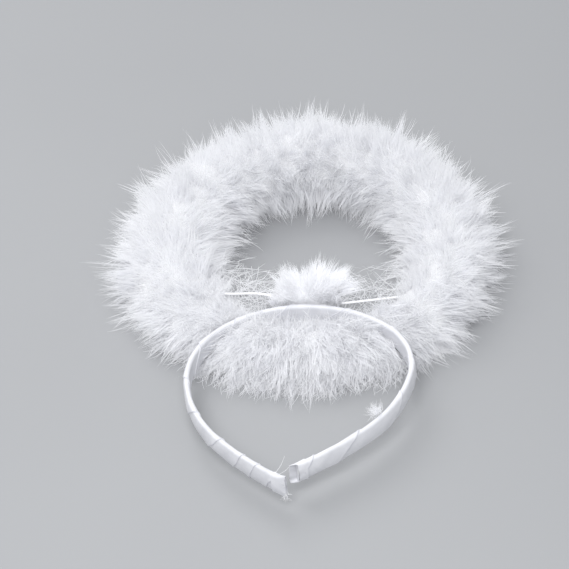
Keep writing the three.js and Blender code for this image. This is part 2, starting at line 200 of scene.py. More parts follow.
def mesh_object(name, points, loops, totals, smooth=True):
    """A mesh from points in millimetres and faces given as one run of corners."""
    mesh = bpy.data.meshes.new(name)
    mesh.vertices.add(len(points))
    mesh.vertices.foreach_set("co", (np.asarray(points) * MM).astype(np.float32).ravel())
    mesh.loops.add(len(loops))
    mesh.loops.foreach_set("vertex_index", np.asarray(loops, np.int32))
    starts = np.concatenate([[0], np.cumsum(totals)[:-1]]).astype(np.int32)
    mesh.polygons.add(len(totals))
    mesh.polygons.foreach_set("loop_start", starts)
    mesh.polygons.foreach_set("use_smooth", np.full(len(totals), smooth))
    mesh.update(calc_edges=True)
    return new_object(name, mesh)


def grid_quads(m, n, last_row, last_column):
    """Faces between neighbours in a grid of m rows of n points."""
    i, j = np.meshgrid(np.arange(last_row), np.arange(last_column), indexing="ij")
    i, j = i.ravel(), j.ravel()
    i2, j2 = (i + 1) % m, (j + 1) % n
    return np.stack([i * n + j, i * n + j2, i2 * n + j2, i2 * n + j], 1)


def grid_object(name, rows, wrap_rows=False, caps=False, uv=None):
    """A mesh through a grid of points: rows of points that each go once round."""
    rows = np.asarray(rows)
    m, n = rows.shape[:2]
    quads = grid_quads(m, n, m if wrap_rows else m - 1, n)
    loops = quads.ravel()
    totals = np.full(len(quads), 4)
    if caps:
        loops = np.concatenate([loops, np.arange(n)[::-1], (m - 1) * n + np.arange(n)])
        totals = np.concatenate([totals, [n, n]])
    obj = mesh_object(name, rows.reshape(-1, 3), loops, totals)
    if uv is not None:
        layer = obj.data.uv_layers.new(name="weave")
        corner = np.zeros((len(loops), 2), np.float32)
        corner[:] = uv.reshape(-1, 2)[loops]
        layer.data.foreach_set("uv", corner.ravel())
    return obj


def join_seams(obj):
    """Joins points that lie together, and turns every face outwards."""
    mesh = bmesh.new()
    mesh.from_mesh(obj.data)
    bmesh.ops.remove_doubles(mesh, verts=mesh.verts, dist=0.00001)
    loose = [v for v in mesh.verts if not v.link_faces]
    bmesh.ops.delete(mesh, geom=loose, context="VERTS")
    bmesh.ops.recalc_face_normals(mesh, faces=mesh.faces)
    mesh.to_mesh(obj.data)
    mesh.free()
    obj.data.set_sharp_from_angle(angle=math.radians(38))


def tube_rows(path, radius, sides):
    """Rings of points round a path, turned as little as possible along it."""
    path = np.asarray(path, float)
    radius = np.broadcast_to(radius, len(path))
    tangent = unit(np.gradient(path, axis=0))
    normal = np.cross(tangent[0], [0.3, 0.2, 1.0])
    rows = []
    turns = np.linspace(0, 2 * np.pi, sides, endpoint=False)
    for p, t, r in zip(path, tangent, radius):
        normal = normal - t * normal.dot(t)
        normal /= np.linalg.norm(normal)
        across = np.cross(t, normal)
        rows.append(p + r * (np.cos(turns)[:, None] * normal + np.sin(turns)[:, None] * across))
    return np.array(rows)


def smooth_path(points, count):
    """A rounded path through points, by centripetal Catmull-Rom."""
    p = np.asarray(points, float)
    p = np.vstack([2 * p[0] - p[1], p, 2 * p[-1] - p[-2]])
    knots = np.concatenate([[0], np.cumsum(np.linalg.norm(np.diff(p, axis=0), axis=1) ** 0.5)])
    out = []
    for u in np.linspace(knots[1], knots[-2] - 1e-9, count):
        k = int(np.searchsorted(knots, u, side="right")) - 1
        k = min(max(k, 1), len(p) - 3)
        t0, t1, t2, t3 = knots[k - 1 : k + 3]
        p0, p1, p2, p3 = p[k - 1 : k + 3]
        a1 = (t1 - u) / (t1 - t0) * p0 + (u - t0) / (t1 - t0) * p1
        a2 = (t2 - u) / (t2 - t1) * p1 + (u - t1) / (t2 - t1) * p2
        a3 = (t3 - u) / (t3 - t2) * p2 + (u - t2) / (t3 - t2) * p3
        b1 = (t2 - u) / (t2 - t0) * a1 + (u - t0) / (t2 - t0) * a2
        b2 = (t3 - u) / (t3 - t1) * a2 + (u - t1) / (t3 - t1) * a3
        out.append((t2 - u) / (t2 - t1) * b1 + (u - t1) / (t2 - t1) * b2)
    return np.array(out)


def finish_piece(obj, material, slot_name, *nodes):
    obj.data.materials.append(material)
    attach(obj, body)
    if nodes:
        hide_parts(*nodes)
    return obj


# Materials
def new_material(name):
    """A material with its node tree, its shader and the place on the object that noise reads."""
    material = bpy.data.materials.new(name)
    material.use_nodes = True
    tree = material.node_tree
    shader = tree.nodes["Principled BSDF"]
    place = tree.nodes.new("ShaderNodeTexCoord").outputs["Object"]
    return material, tree, shader, place


def set_sockets(node, values):
    for name, value in values.items():
        node.inputs[name].default_value = value


def noise_node(tree, scale, detail, coordinates):
    node = tree.nodes.new("ShaderNodeTexNoise")
    set_sockets(node, {"Scale": scale, "Detail": detail})
    tree.links.new(coordinates, node.inputs["Vector"])
    return node.outputs["Fac"]


def ramp_node(tree, fac, low, high, low_at=0.3, high_at=0.7):
    node = tree.nodes.new("ShaderNodeValToRGB")
    node.color_ramp.elements[0].position = low_at
    node.color_ramp.elements[0].color = (*low, 1)
    node.color_ramp.elements[1].position = high_at
    node.color_ramp.elements[1].color = (*high, 1)
    tree.links.new(fac, node.inputs["Fac"])
    return node.outputs["Color"]


def bump_node(tree, height, distance, strength=1.0, normal=None):
    node = tree.nodes.new("ShaderNodeBump")
    set_sockets(node, {"Strength": strength, "Distance": distance})
    tree.links.new(height, node.inputs["Height"])
    if normal is not None:
        tree.links.new(normal, node.inputs["Normal"])
    return node.outputs["Normal"]


def down_material(name, dense, veil_share=0.5):
    """White marabou: barbs, or the dense down that they stand on.

    The veil's share is how much of the light a barb lets through when shadows are worked out.
    """
    material, tree, shader, place = new_material(name)
    tone = noise_node(tree, 60, 3, place)
    if dense:
        # painted shade: the dense down is painted darker than the barbs, for the shade it lies in
        # under them
        low, high = (0.64, 0.643, 0.665), (0.68, 0.683, 0.70)
    else:
        low, high = (0.84, 0.843, 0.862), (0.88, 0.882, 0.895)
    ramp = ramp_node(tree, tone, low, high)
    tree.links.new(ramp, shader.inputs["Base Color"])
    set_sockets(shader, {"Roughness": 0.9, "Specular IOR Level": 0.2, "Sheen Weight": 0.3})
    if dense:
        fine = noise_node(tree, 900, 5, place)
        tree.links.new(bump_node(tree, fine, 0.0012), shader.inputs["Normal"])
        return material
    # thin barbs pass light on, and shade each other only in part
    through = tree.nodes.new("ShaderNodeBsdfTranslucent")
    tree.links.new(ramp, through.inputs["Color"])
    mix = tree.nodes.new("ShaderNodeMixShader")
    mix.inputs["Fac"].default_value = 0.5
    tree.links.new(shader.outputs["BSDF"], mix.inputs[1])
    tree.links.new(through.outputs["BSDF"], mix.inputs[2])
    clear = tree.nodes.new("ShaderNodeBsdfTransparent")
    path = tree.nodes.new("ShaderNodeLightPath")
    part = tree.nodes.new("ShaderNodeMath")
    part.operation = "MULTIPLY"
    part.inputs[1].default_value = veil_share
    tree.links.new(path.outputs["Is Shadow Ray"], part.inputs[0])
    veil = tree.nodes.new("ShaderNodeMixShader")
    tree.links.new(part.outputs["Value"], veil.inputs["Fac"])
    tree.links.new(mix.outputs["Shader"], veil.inputs[1])
    tree.links.new(clear.outputs["BSDF"], veil.inputs[2])
    output = tree.nodes["Material Output"]
    tree.links.new(veil.outputs["Shader"], output.inputs["Surface"])
    return material


def satin_material(name):
    """Satin ribbon: fine warp floats along the ribbon, and a soft sheen across them."""
    material, tree, shader, place = new_material(name)
    uv = tree.nodes.new("ShaderNodeUVMap")
    uv.uv_map = "weave"
    tone = noise_node(tree, 140, 4, place)
    ramp = ramp_node(tree, tone, (0.62, 0.625, 0.66), (0.70, 0.703, 0.735))
    # painted shade: each turn's free edge is painted a little darker, as the shadow line along the
    # lap's step
    across = tree.nodes.new("ShaderNodeSeparateXYZ")
    tree.links.new(uv.outputs["UV"], across.inputs["Vector"])
    painted_edge_shade = ramp_node(tree, across.outputs["X"], (0.82, 0.82, 0.85), (1.0, 1.0, 1.0), 0.2, 0.6)
    shade = tree.nodes.new("ShaderNodeVectorMath")
    shade.operation = "MULTIPLY"
    tree.links.new(ramp, shade.inputs[0])
    tree.links.new(painted_edge_shade, shade.inputs[1])
    tree.links.new(shade.outputs["Vector"], shader.inputs["Base Color"])
    threads = tree.nodes.new("ShaderNodeTexWave")
    threads.wave_type = "BANDS"
    threads.bands_direction = "X"
    set_sockets(threads, {"Scale": 1.1, "Distortion": 0.6, "Detail": 2})
    tree.links.new(uv.outputs["UV"], threads.inputs["Vector"])
    stretch = tree.nodes.new("ShaderNodeMapping")
    stretch.inputs["Scale"].default_value = (1.2, 0.12, 1.0)
    tree.links.new(uv.outputs["UV"], stretch.inputs["Vector"])
    slub = noise_node(tree, 2.2, 3, stretch.outputs["Vector"])
    fine = bump_node(tree, threads.outputs["Fac"], 0.00003, 0.5)
    broad = bump_node(tree, slub, 0.00022, 0.6, fine)
    tree.links.new(broad, shader.inputs["Normal"])
    rough = ramp_node(tree, slub, (0.34, 0.34, 0.34), (0.46, 0.46, 0.46))
    tree.links.new(rough, shader.inputs["Roughness"])
    set_sockets(shader, {"Specular IOR Level": 0.5, "Anisotropic": 0.4, "Sheen Weight": 0.1})
    return material


def coat_material(name, base, roughness):
    """White coating or moulded plastic, slightly uneven."""
    material, tree, shader, place = new_material(name)
    tone = noise_node(tree, 400, 3, place)
    ramp = ramp_node(tree, tone, [c * 0.95 for c in base], base)
    tree.links.new(ramp, shader.inputs["Base Color"])
    bump = bump_node(tree, tone, 0.00006, 0.6)
    tree.links.new(bump, shader.inputs["Normal"])
    shader.inputs["Roughness"].default_value = roughness
    return material


barb_white = down_material("barb_white", dense=False)
loop_white = down_material("loop_white", dense=False, veil_share=0.6)
tuft_white = down_material("tuft_white", dense=False, veil_share=0.82)
dense_down_painted_shade = down_material("dense_down_painted_shade", dense=True)
satin = satin_material("satin_white")
thread_white = coat_material("thread_white", (0.85, 0.85, 0.86), 0.7)
wire_coat = coat_material("wire_coat", (0.93, 0.93, 0.94), 0.4)
strip_plastic = coat_material("strip_plastic", (0.9, 0.9, 0.89), 0.45)
for node, material in (("hoop", strip_plastic), ("halo_wire", wire_coat)):
    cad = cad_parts[node]
    cad.data.materials.clear()
    cad.data.materials.append(material)


# The wound ribbon
HEM_HEIGHT = 0.12
PULL_HEIGHT = 0.07
SLACK_HEIGHT = 0.05
# Units of the weave along one turn of the ribbon, and once round the strip
WEAVE_ALONG = 20.0
WEAVE_AROUND = 30.0
TIP_COLUMNS = 56


def strip_outline(count, grow):
    """The strip's rounded outline: out and up from its middle, with outward directions.

    It starts in the middle of the inner face, and the middle of the outer face is half way.
    """
    half = HOOP_WIDTH / 2 + grow
    face = HOOP_THICKNESS / 2 + grow
    corner = min(HOOP_EDGE_ROUND + grow / 2 + 0.45, face)
    flat_face = face - corner
    flat_edge = half - corner
    turns = np.linspace(0, np.pi / 2, 12)
    to_edge = [(flat_face + corner * math.cos(t), flat_edge + corner * math.sin(t)) for t in turns]
    to_face = [(flat_face + corner * math.sin(t), flat_edge + corner * math.cos(t)) for t in turns]
    fine = [(-face, up) for up in np.linspace(0, -flat_edge, 24)]
    fine += [(-out, -up) for out, up in to_edge]
    fine += [(out, -up) for out, up in to_face]
    for share in np.linspace(-1, 1, 48):
        fine.append((face + HOOP_DOME * (1 - share * share), share * flat_edge))
    fine += to_edge
    fine += [(-out, up) for out, up in to_face]
    fine += [(-face, up) for up in np.linspace(flat_edge, 0, 24)]
    fine = np.array(fine)
    keep = np.concatenate([[True], np.linalg.norm(np.diff(fine, axis=0), axis=1) > 1e-6])
    fine = fine[keep]
    run = np.concatenate([[0], np.cumsum(np.linalg.norm(np.diff(fine, axis=0), axis=1))])
    at = np.linspace(0, run[-1], count, endpoint=False)
    outline = np.stack([np.interp(at, run, fine[:, k]) for k in (0, 1)], 1)
    along = np.roll(outline, -1, 0) - np.roll(outline, 1, 0)
    away = np.stack([along[:, 1], -along[:, 0]], 1)
    away = -unit(away)
    if (away * outline).sum() < 0:
        away = -away
    return outline, away


def edge_distance(turns):
    return np.interp(turns, np.arange(len(RIBBON_EDGES)), RIBBON_EDGES)


def edge_turns(distance):
    return np.interp(distance, RIBBON_EDGES, np.arange(len(RIBBON_EDGES)))


def ribbon_rise(phase):
    """Height of the ribbon's face over its lowest layer at a phase of the winding."""
    share = phase - np.floor(phase)
    lap = np.clip(1 - share / RIBBON_LAP_SHARE, 0, 1)
    return (RIBBON_STEP + 0.1) * lap**1.3


def make_ribbon_wrap():
    columns = 40
    outline, away = strip_outline(columns, GAP + RIBBON_WALL)
    around = np.arange(columns) / columns
    end = ARM_LENGTH - RIBBON_OVERHANG - END_WRAP_GRIP - GAP
    steps = np.array([0.0, 0.012, 0.03, 0.06, 0.1, 0.15, 0.2, 0.26, 0.33, 0.4, 0.47, 0.54])
    steps = np.concatenate([steps, [0.61, 0.68, 0.75, 0.82, 0.89, 0.95, 0.988]])
    phases = (np.arange(len(RIBBON_EDGES))[:, None] + steps[None, :]).ravel()
    phase = np.broadcast_to(phases[:, None], (len(phases), columns))
    distance = np.clip(edge_distance(phase - around[None, :] + 0.5), -end, end)
    true_phase = edge_turns(distance) + around[None, :] - 0.5
    held = np.abs(distance) < end
    rise = np.where(held, ribbon_rise(phase), ribbon_rise(true_phase))
    share = phase - np.floor(phase)
    hem = HEM_HEIGHT * np.exp(-(((share - 0.03) / 0.014) ** 2))
    wander = 2.3 * np.sin(distance * 0.21)
    pull = PULL_HEIGHT * np.sin(distance * 1.1 + wander) * np.exp(-share / 0.22)
    slack = SLACK_HEIGHT * np.sin(distance * 0.37 + around[None, :] * 9.0)
    height = rise + (hem + pull + slack) * np.clip((end - np.abs(distance)) / 3, 0, 1)
    out = outline[None, :, 0] + away[None, :, 0] * height
    up = outline[None, :, 1] + away[None, :, 1] * height
    points = set_on_hoop(distance.ravel(), out.ravel(), up.ravel())
    # where the outline closes, the winding has moved on by one turn
    per_turn = len(steps)
    turns = len(phases)
    i, j = np.meshgrid(np.arange(turns - 1), np.arange(columns), indexing="ij")
    i, j = i.ravel(), j.ravel()
    back = np.where(j == columns - 1, per_turn, 0)
    ok = i - back >= 0
    i, j, back = i[ok], j[ok], back[ok]
    j2 = (j + 1) % columns
    here = i * columns + j
    beside = (i - back) * columns + j2
    quads = np.stack([here, beside, beside + columns, here + columns], 1)
    corner = points[quads]
    size = np.linalg.norm(corner[:, 0] - corner[:, 3], axis=1)
    size += np.linalg.norm(corner[:, 1] - corner[:, 2], axis=1)
    quads = quads[size > 1e-3]
    wrap = mesh_object("ribbon_wrap_satin", points, quads.ravel(), np.full(len(quads), 4))
    layer = wrap.data.uv_layers.new(name="weave")
    u = (share * WEAVE_ALONG)[..., None]
    v = (around[None, :] * WEAVE_AROUND + 0 * share)[..., None]
    uv = np.concatenate([u, v], 2).reshape(-1, 2)
    layer.data.foreach_set("uv", uv[quads.ravel()].astype(np.float32).ravel())
    join_seams(wrap)
    return finish_piece(wrap, satin, "ribbon_wrap", "ribbon_wrap")


def make_end_wrap(side, name, flare, pinch, scoop, ragged, lap, seed):
    """One layer of ribbon round a tip, open past the end of the strip.

    Its mouth spreads by the flare as it is pinched flat by a share of its depth, and it slants
    back by the scoop towards its outer face.
    """
    rng = np.random.default_rng(seed)
    columns = TIP_COLUMNS
    stations = 22
    start = ARM_LENGTH - RIBBON_OVERHANG - END_WRAP_GRIP - lap
    around = np.arange(columns) / columns
    rim = ragged * np.interp(around, np.linspace(0, 1, 15), np.append(rng.normal(0, 1, 14), 0))
    rim = rim - rim.max()
    shells = []
    over = GAP + RIBBON_WALL + 0.16
    for grow, inset in ((over, 0.0), (over - 0.3, 0.05)):
        outline, away = strip_outline(columns, grow)
        rows = []
        for k in range(stations):
            share = k / (stations - 1)
            outwards = np.clip((outline[:, 0] + HOOP_THICKNESS / 2) / HOOP_THICKNESS, 0, 1)
            distance = start + (ARM_LENGTH - start + rim - scoop * outwards) * share
            spread = flare * share**2
            up = outline[:, 1] * (1 + spread / (HOOP_WIDTH / 2))
            crease = 0.10 * share * np.sin(around * 2 * np.pi * 5 + 3 * share + seed)
            run = float(np.mean(distance)) - start
            lift = (RIBBON_STEP + 0.14) * min(max(1 - run / (lap + 2.5), 0), 1)
            flat = 1 - pinch * max((share - 0.42) / 0.58, 0) ** 1.5
            out = outline[:, 0] * flat + away[:, 0] * (crease + lift)
            up = up + away[:, 1] * lift
            rows.append(set_on_hoop(side * (distance - inset * share), out, up))
        shells.append(np.array(rows))
    outer, inner = shells
    rows = np.concatenate([outer, inner[::-1]])
    share = np.linspace(0, 1, stations)
    share = np.concatenate([share, share[::-1]])
    grid = np.stack(np.meshgrid(1 + share * 7, around * WEAVE_AROUND, indexing="ij"), -1)
    sleeve = grid_object(name, rows, wrap_rows=True, uv=grid)
    join_seams(sleeve)
    return sleeve


def make_end_fold(side, name, recess, flare, pinch):
    """The ribbon folded over inside a tip."""
    outline, _ = strip_outline(TIP_COLUMNS, GAP + RIBBON_WALL - 0.2)
    outline[:, 0] *= 1 - pinch
    outline[:, 1] *= 1 + flare / (HOOP_WIDTH / 2)
    shares = (1.0, 0.94, 0.8, 0.6, 0.4, 0.2, 0.0)
    rows = []
    for share in shares:
        sink = recess + 0.5 * (1 - share) ** 0.5
        at = np.full(len(outline), side * (ARM_LENGTH - sink))
        rows.append(set_on_hoop(at, outline[:, 0] * share, outline[:, 1] * share))
    u = np.linspace(1, 3, len(shares))
    v = np.linspace(0, WEAVE_AROUND, TIP_COLUMNS)
    fold = grid_object(name, rows, uv=np.stack(np.meshgrid(u, v, indexing="ij"), -1))
    join_seams(fold)
    return fold


make_ribbon_wrap()
end_left = make_end_wrap(
    -1, "end_wrap_left_satin", flare=1.9, pinch=0.6, scoop=0.0, ragged=0.12, lap=0.9, seed=11
)
finish_piece(end_left, satin, "end_wrap_left", "end_wrap_left")
end_right = make_end_wrap(
    1, "end_wrap_right_satin", flare=0.3, pinch=0.0, scoop=4.0, ragged=0.12, lap=2.4, seed=12
)
finish_piece(end_right, satin, "end_wrap_right", "end_wrap_right")
fold_left = make_end_fold(-1, "end_fold_left", recess=0.4, flare=1.55, pinch=0.6)
finish_piece(fold_left, satin, "end_wrap_left", "end_wrap_left")
fold_right = make_end_fold(1, "end_fold_right", recess=4.2, flare=0.0, pinch=0.0)
finish_piece(fold_right, satin, "end_wrap_right", "end_wrap_right")


# The stem wire
def stem_path():
    nearest = WRAPPED_OUTER_FACE + GAP + STEM_RADIUS
    bends = [CROWN + np.array([x, nearest + behind, HOOP_LIFT + up]) for x, behind, up in STEM_BENDS]
    reach = 1.0 + GAP + STEM_RADIUS
    ends = []
    for degrees, bend in zip(STEM_EYES_DEG, (bends[0], bends[-1])):
        eye = halo_at(degrees)
        along = halo_at(degrees + 1) - halo_at(degrees - 1)
        along /= np.linalg.norm(along)
        towards = bend - eye
        towards -= along * towards.dot(along)
        towards /= np.linalg.norm(towards)
        turns = np.linspace(0, 2 * np.pi, 13)[:-1]
        across = np.cross(along, towards)
        loop = [eye + reach * (np.cos(t) * towards + np.sin(t) * across) for t in turns[::-1]]
        ends.append(loop)
    return bends, ends


def make_stem():
    bends, (left_eye, right_eye) = stem_path()
    path = smooth_path(left_eye + bends + right_eye[::-1], 260)
    rows = tube_rows(path, STEM_RADIUS, 12)
    stem = grid_object("stem_wire_coated", rows, caps=True)
    return finish_piece(stem, wire_coat, "stem_wire", "stem_wire")


make_stem()


# Down: each barb is a narrow tapered strip
BARB_STEPS = np.array([0.0, 0.36, 0.72, 1.0])
BARBS_PER_LOCK = 150
BARBS_PER_BUNDLE = 12
LONG_SHARE = 0.24
# Steps that spread locks evenly over the ring, without rows
EVEN_STEP_ALONG = 0.7548776662
EVEN_STEP_AROUND = 0.5698402910
# The grid in plan that holds distances from the hoop, in millimetres
PLAN_STEP = 0.5
PLAN_HALF_WIDTH = 130
PLAN_HALF_LENGTH = 165
# Stretches in X from the crown's middle where the stem wire shows on the down
STEM_SEEN = ((24, 62), (-42, -18))


def barbs_object(name, points, half_width, rng):
    """A mesh of barbs. points is barbs by steps by xyz; half_width is one number for each barb."""
    count, steps = points.shape[:2]
    run = unit(points[:, -1] - points[:, 0], 1e-9)
    facing = rng.normal(0, 0.6, (count, 3)) + np.array([0, 0, 1.0])
    side = unit(np.cross(run, facing), 1e-9)
    taper = np.interp(np.linspace(0, 1, steps - 1), [0, 0.5, 1], [0.9, 1.0, 0.62])
    offset = side[:, None, :] * (half_width[:, None] * taper[None, :])[..., None]
    body_points = points[:, :-1]
    pairs = np.stack([body_points - offset, body_points + offset], 2)
    flat = np.concatenate([pairs.reshape(count, -1, 3), points[:, -1:]], 1)
    per = 2 * (steps - 1) + 1
    base = (np.arange(count) * per)[:, None]
    quads = []
    for k in range(steps - 2):
        quads.append(base + np.array([2 * k, 2 * k + 1, 2 * k + 3, 2 * k + 2])[None, :])
    tip = base + np.array([per - 3, per - 2, per - 1])[None, :]
    loops = np.concatenate(quads + [tip], 1).ravel()
    totals = np.tile([4] * (steps - 2) + [3], count)
    flat[..., 2] = np.maximum(flat[..., 2], 0.15)
    return mesh_object(name, flat.reshape(-1, 3), loops, totals, smooth=False)


def plan_distance_grid():
    """Signed distance in plan from the hoop's middle line, at each point of the grid."""
    samples = np.arange(-ARM_LENGTH, ARM_LENGTH + 0.1, 2.0)
    points, outward = hoop_at(samples)
    points = points + CROWN[:2]
    xs = np.arange(-PLAN_HALF_WIDTH, PLAN_HALF_WIDTH + 1, PLAN_STEP)
    ys = np.arange(-PLAN_HALF_LENGTH, PLAN_HALF_LENGTH + 1, PLAN_STEP)
    gx, gy = np.meshgrid(xs, ys, indexing="ij")
    near = np.full(gx.shape, 1e9)
    signed = np.zeros(gx.shape)
    for p, o in zip(points, outward):
        dx, dy = gx - p[0], gy - p[1]
        d2 = dx * dx + dy * dy
        hit = d2 < near
        near[hit] = d2[hit]
        signed[hit] = (dx * o[0] + dy * o[1])[hit]
    return np.sign(signed) * np.sqrt(near)


HOOP_DISTANCE = plan_distance_grid()


def distance_from_hoop(points):
    ix = np.round((points[..., 0] + PLAN_HALF_WIDTH) / PLAN_STEP).astype(int)
    iy = np.round((points[..., 1] + PLAN_HALF_LENGTH) / PLAN_STEP).astype(int)
    ix = np.clip(ix, 0, HOOP_DISTANCE.shape[0] - 1)
    iy = np.clip(iy, 0, HOOP_DISTANCE.shape[1] - 1)
    return HOOP_DISTANCE[ix, iy]


def roll_lift(points):
    """How far the strip's roll lifts it, at the points' places along X."""
    return (points[..., 0] - CROWN[0]) * math.sin(math.radians(HOOP_ROLL_DEG))


def stem_parting(points):
    """True for barbs that leave the stem wire in sight, where it lies on the down."""
    wire = STEM_BENDS
    at_x = points[..., 0] - CROWN[0]
    behind = np.interp(at_x, wire[:, 0], wire[:, 1]) + WRAPPED_OUTER_FACE + GAP + STEM_RADIUS
    # past its last bend the wire leans back towards its right eye
    behind = np.where(at_x > 40, behind + 0.19 * (at_x - 40), behind)
    up = np.interp(at_x, wire[:, 0], wire[:, 2]) + HOOP_LIFT
    right, left = [(at_x > low) & (at_x < high) for low, high in STEM_SEEN]
    along = right | left
    away = points[..., 1] - CROWN[1] - behind
    over = along & (away > -11) & (away < 2.0) & (points[..., 2] > up - 0.5 - 0.35 * away)
    return ~over.any(1)


def clear_of_hoop(points):
    """True for barbs that neither touch nor cross the wrapped strip."""
    fine = np.linspace(0, 1, 13)
    at = fine * (points.shape[1] - 1)
    low = np.minimum(at.astype(int), points.shape[1] - 2)
    part = (at - low)[None, :, None]
    dense = points[:, low] * (1 - part) + points[:, low + 1] * part
    distance = distance_from_hoop(dense)
    above = dense[..., 2] - HOOP_LIFT - roll_lift(dense)
    level = (above > -0.5) & (above < 2 * WRAPPED_HALF_WIDTH + 0.4)
    near = (distance > -2.1) & (distance < WRAPPED_OUTER_FACE + 0.4)
    touch = (level & near).any(1)
    swap = (np.sign(distance[:, 1:]) != np.sign(distance[:, :-1])) & (np.abs(distance[:, 1:]) < 12)
    cross = (swap & level[:, 1:]).any(1)
    return ~(touch | cross)


def bend_barbs(root, tip, rng, bow, at=BARB_STEPS):
    """Barbs from roots to tips, each with a bow of its own."""
    count = len(root)
    run = tip - root
    sideways = unit(np.cross(run, rng.normal(size=(count, 3))), 1e-9)
    amount = rng.normal(0, bow, count)
    steps = at[None, :, None]
    arch = 4 * steps * (1 - steps)
    hook = np.clip(steps - 0.6, 0, 1) * rng.normal(0, bow * 1.2, (count, 1, 3))
    bowed = sideways[:, None] * (amount[:, None, None] * arch)
    return root[:, None] + run[:, None] * steps + bowed + hook


def bundle_barbs(roots, tips, owner, spread, gather, rng, bow, sway=0.0):
    """Barbs gathered into bundles, each bundle coming to a point of its own.

    The sway is how far a bundle's tip curls away from its line.
    """
    count = len(owner)
    curl = rng.normal(0, 1, (len(roots), 3))[owner][:, None] * sway
    offset = rng.normal(0, 1, (count, 3))
    gather = np.broadcast_to(gather, len(roots))[owner][:, None]
    reach = 1 - 0.38 * rng.uniform(0, 1, (count, 1)) ** 1.4
    root = roots[owner] + offset * spread
    tip = roots[owner] + (tips[owner] - roots[owner]) * reach + offset * spread * gather
    return bend_barbs(root, tip, rng, bow) + curl * BARB_STEPS[None, :, None] ** 2


def ring_barbs(low_deg, high_deg, count, rng, low_around=-50, high_around=230, reach=1.0):
    """Barbs of the ring's down between two angles: locks made of bundles made of barbs."""
    locks = count // BARBS_PER_LOCK
    order = np.arange(locks) + 0.5
    degrees = low_deg + (high_deg - low_deg) * np.mod(order * EVEN_STEP_ALONG, 1.0)
    turns = np.linspace(low_around, high_around, 200)
    crowd = np.cumsum(HALO_RADIUS + 30 * np.cos(np.radians(turns)))
    around = np.interp(np.mod(order * EVEN_STEP_AROUND, 1.0), crowd / crowd[-1], turns)
    degrees = degrees + rng.normal(0, 0.8, locks)
    around = around + rng.normal(0, 3, locks)
    length = np.clip(rng.normal(0.89, 0.08, locks), 0.74, 1.1) * reach
    lock_root = down_point(degrees, around, 0.36)
    lock_tip_deg = degrees + rng.normal(0, 2.6, locks)
    combed = np.exp(-(((degrees - 270) / 34.0) ** 2)) * np.clip(around - 10, 0, 110) * 0.5
    lock_tip = down_point(lock_tip_deg, around - combed + rng.normal(0, 7, locks), length)
    bundles = count // BARBS_PER_BUNDLE
    lock = rng.integers(0, locks, bundles)
    aside = rng.normal(0, 1, (bundles, 3)) * np.array([4.6, 4.6, 3.4])
    off = np.minimum(np.linalg.norm(aside, axis=1) / 9.0, 1.4)[:, None]
    bundle_root = lock_root[lock] + aside * 0.9
    shorter = 1.0 - 0.13 * off**2 - 0.22 * rng.uniform(0, 1, (bundles, 1))
    long_ones = rng.uniform(0, 1, bundles) < LONG_SHARE
    shorter[long_ones] += 0.48 * rng.uniform(0.25, 1, (long_ones.sum(), 1))
    bundle_tip = lock_root[lock] + (lock_tip[lock] - lock_root[lock]) * shorter
    bundle_tip = bundle_tip + aside * rng.uniform(0.45, 0.95, (bundles, 1))
    bundle_tip += rng.normal(0, 1.1, (bundles, 3))
    tight = int(count * 0.6)
    owner = rng.integers(0, bundles, tight)
    gather = np.where(long_ones, 0.36, 0.55)
    points = bundle_barbs(bundle_root, bundle_tip, owner, 1.3, gather, rng, 1.2, 2.3)
    loose_owner = rng.integers(0, bundles, count - tight)
    loose_tip = bundle_root + (bundle_tip - bundle_root) * 0.88
    fuzz = bundle_barbs(bundle_root, loose_tip, loose_owner, 1.9, 1.3, rng, 1.9)
    points = np.concatenate([points, fuzz])
    bold = np.where(long_ones[owner], 1.1, 1.0)
    tight_width = rng.uniform(0.15, 0.25, tight) * bold
    width = np.concatenate([tight_width, rng.uniform(0.11, 0.17, len(fuzz))])
    lowest = 0.2 + 2.2 * rng.uniform(0, 1, len(points))
    floor_line = lowest[:, None] * (1 - 0.7 * BARB_STEPS[None, :])
    points[..., 2] = np.maximum(points[..., 2], floor_line)
    points[..., 2] -= 0.5 * np.maximum(points[..., 2] - DROOP_HEIGHT, 0)
    clear = clear_of_hoop(points) & stem_parting(points)
    return points[clear], width[clear]


def make_ring_core():
    """The dense down that the barbs stand on, a lumpy body round the halo wire."""
    rng = np.random.default_rng(5)
    columns = 44
    stations = 300
    degrees = np.linspace(0, 360, stations, endpoint=False)
    around = np.linspace(-58, 238, columns)
    lumps = np.zeros((stations, columns))
    for _ in range(26):
        a, b = rng.integers(3, 60), rng.integers(1, 9)
        phase = rng.uniform(0, 2 * np.pi, 2)
        wave = np.sin(np.radians(degrees)[:, None] * a + phase[0])
        lumps += rng.normal(0, 0.008) * wave * np.sin(np.radians(around)[None, :] * b + phase[1])
    share = 0.60 + lumps
    points = down_point(degrees[:, None], around[None, :], share)
    points[..., 2] = np.maximum(points[..., 2], 0.3)
    distance = distance_from_hoop(points)
    ceiling = HOOP_LIFT + roll_lift(points) - 1.2
    near = np.clip((np.abs(distance - 0.6) - 2.6) / 5.0, 0, 1)
    points[..., 2] = np.minimum(points[..., 2], ceiling + near * 30)
    core = grid_object("halo_down_core", points[:, ::-1], wrap_rows=True)
    return finish_piece(core, dense_down_painted_shade, "halo_boa", "halo_boa")


make_ring_core()
RING_PIECES = 5
RING_BARBS = 31000
for k in range(RING_PIECES):
    rng = np.random.default_rng(100 + k)
    arc = 360 / RING_PIECES
    low_deg = k * arc
    points, width = ring_barbs(low_deg, low_deg + arc, RING_BARBS, rng)
    piece = barbs_object(f"halo_down_{k + 1}", points, width, rng)
    finish_piece(piece, barb_white, "halo_boa", "halo_boa")
rng = np.random.default_rng(120)
points, width = ring_barbs(246, 296, RING_BARBS // 3, rng, low_around=50, high_around=200, reach=0.92)
piece = barbs_object("halo_down_in_loop", points, width, rng)
finish_piece(piece, loop_white, "halo_boa", "halo_boa")


